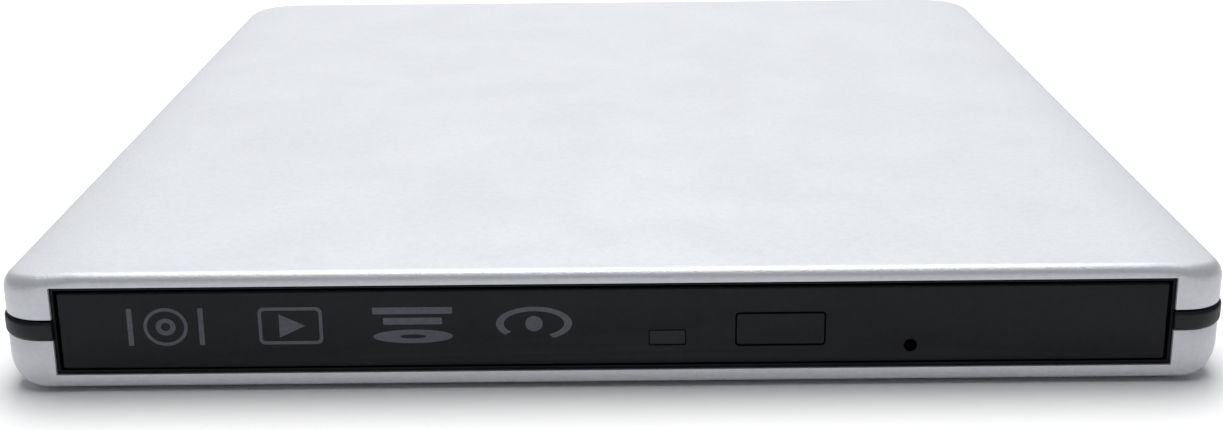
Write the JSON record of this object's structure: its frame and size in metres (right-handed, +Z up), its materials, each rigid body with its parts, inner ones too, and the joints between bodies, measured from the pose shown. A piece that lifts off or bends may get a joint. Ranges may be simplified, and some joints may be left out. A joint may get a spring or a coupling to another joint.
{
  "type": "external optical drive",
  "caption": "Slim tray-loading external disc drive: two satin shells with a black belt, a black tray bezel with eject button, light and release hole, and a working tray mechanism inside.",
  "frame": {"origin": "centre of the footprint, on the surface the feet stand on", "axes": "+Z up, +Y from the tray front to the port side, +X to the right seen from the front"},
  "size_m": [0.1436, 0.149, 0.0144],
  "materials": {
    "silver_shell": "satin, finely textured",
    "black_belt": "matte",
    "rubber": "matte",
    "foam": "matte",
    "screw_steel": "satin",
    "circuit_board": "satin",
    "chip_black": "matte",
    "components": "satin",
    "port_metal": "satin",
    "connector_black": "matte",
    "gold_pin": "polished",
    "sheet_steel": "satin",
    "white_plastic": "matte",
    "ribbon": "satin",
    "tray_black": "fine texture",
    "bezel_black": "fine texture",
    "light_window": "smoked, smooth",
    "switch_metal": "satin",
    "led": "gloss",
    "motor_metal": "satin",
    "coil_copper": "enamelled",
    "rod_steel": "ground",
    "cast_sled": "as cast",
    "lens_black": "matte",
    "lens_glass": "coated"
  },
  "bodies": {
    "enclosure": {"top_shell": "silver_shell", "bottom_shell": "silver_shell", "mid_frame": "black_belt", "rubber_feet": "rubber", "case_screws": "screw_steel", "foam_pads": "foam", "bridge_board": "circuit_board", "bridge_chip": "chip_black", "bridge_components": "components", "bridge_screws": "screw_steel", "usb_port": "port_metal", "usb_tongue": "connector_black", "power_jack": "connector_black", "power_jack_pin": "gold_pin", "drive_socket": "connector_black", "drive_pan": "sheet_steel", "drive_cover": "sheet_steel", "cover_screws": "screw_steel", "left_guide": "white_plastic", "right_guide": "white_plastic", "main_board": "circuit_board", "controller_chip": "chip_black", "driver_chip": "chip_black", "ribbon_connector": "white_plastic", "drive_plug": "connector_black", "catch_post": "screw_steel", "ribbon_lower": "ribbon"},
    "slide_rails": {"left_rail": "sheet_steel", "right_rail": "sheet_steel", "ribbon_fold": "ribbon"},
    "tray": {"tray_body": "tray_black", "tray_bezel": "bezel_black", "tray_shield": "sheet_steel", "light_guide": "light_window", "front_board": "circuit_board", "eject_switch": "switch_metal", "status_led": "led", "deck_plate": "sheet_steel", "deck_dampers": "rubber", "tray_screws": "screw_steel", "spindle_stator": "coil_copper", "main_guide_rod": "rod_steel", "sub_guide_rod": "rod_steel", "rod_clips": "connector_black", "sled_motor": "motor_metal", "solenoid_body": "coil_copper", "ribbon_upper": "ribbon"},
    "eject_button": {"eject_button": "bezel_black"},
    "spindle": {"spindle_rotor": "motor_metal", "turntable_pad": "rubber", "hub_pawls": "white_plastic"},
    "sled": {"pickup_body": "cast_sled", "pickup_magnets": "motor_metal", "screw_nut": "white_plastic"},
    "lens": {"lens_holder": "lens_black", "objective_lens": "lens_glass"},
    "lead_screw": {"lead_screw": "rod_steel"},
    "latch": {"latch_lever": "white_plastic"},
    "plunger": {"solenoid_plunger": "motor_metal"},
    "release": {"release_slider": "white_plastic"}
  },
  "joints": [
    {"name": "rail_slide", "type": "slide", "parent": "enclosure", "child": "slide_rails", "axis": [0, -1, 0], "range_m": [0, 0.063]},
    {"name": "tray_slide", "type": "slide", "parent": "slide_rails", "child": "tray", "axis": [0, -1, 0], "range_m": [0, 0.063]},
    {"name": "eject_press", "type": "slide", "parent": "tray", "child": "eject_button", "axis": [0, 1, 0], "range_m": [0, 0.0006], "stiffness_N_per_m": 800, "springref_m": -0.001},
    {"name": "spindle_turn", "type": "hinge", "parent": "tray", "child": "spindle", "pos_m": [0, -0.009, 0.0099], "axis": [0, 0, 1], "continuous": true},
    {"name": "sled_slide", "type": "slide", "parent": "tray", "child": "sled", "axis": [-0.682, -0.7314, 0], "range_m": [0, 0.034]},
    {"name": "lens_focus", "type": "slide", "parent": "sled", "child": "lens", "axis": [0, 0, 1], "range_m": [-0.0003, 0.0003], "stiffness_N_per_m": 60},
    {"name": "screw_turn", "type": "hinge", "parent": "tray", "child": "lead_screw", "pos_m": [-0.01463, 0.00464, 0.00585], "axis": [-0.682, -0.7314, 0], "continuous": true},
    {"name": "latch_turn", "type": "hinge", "parent": "tray", "child": "latch", "pos_m": [0.05, -0.06, 0.00515], "axis": [0, 0, 1], "range_deg": [0, 6]},
    {"name": "plunger_slide", "type": "slide", "parent": "tray", "child": "plunger", "axis": [0, 1, 0], "range_m": [-0.0006, 0], "stiffness_N_per_m": 40, "springref_m": 0.0005},
    {"name": "release_slide", "type": "slide", "parent": "tray", "child": "release", "axis": [0, 1, 0], "range_m": [0, 0.0015], "stiffness_N_per_m": 150, "springref_m": -0.001}
  ],
  "couplings": [
    {"joint": "rail_slide", "follows": "tray_slide", "ratio": 1},
    {"joint": "screw_turn", "follows": "sled_slide", "rad_per_m": 2094.4},
    {"joint": "latch_turn", "follows": "plunger_slide", "rad_per_m": -166.67}
  ]
}
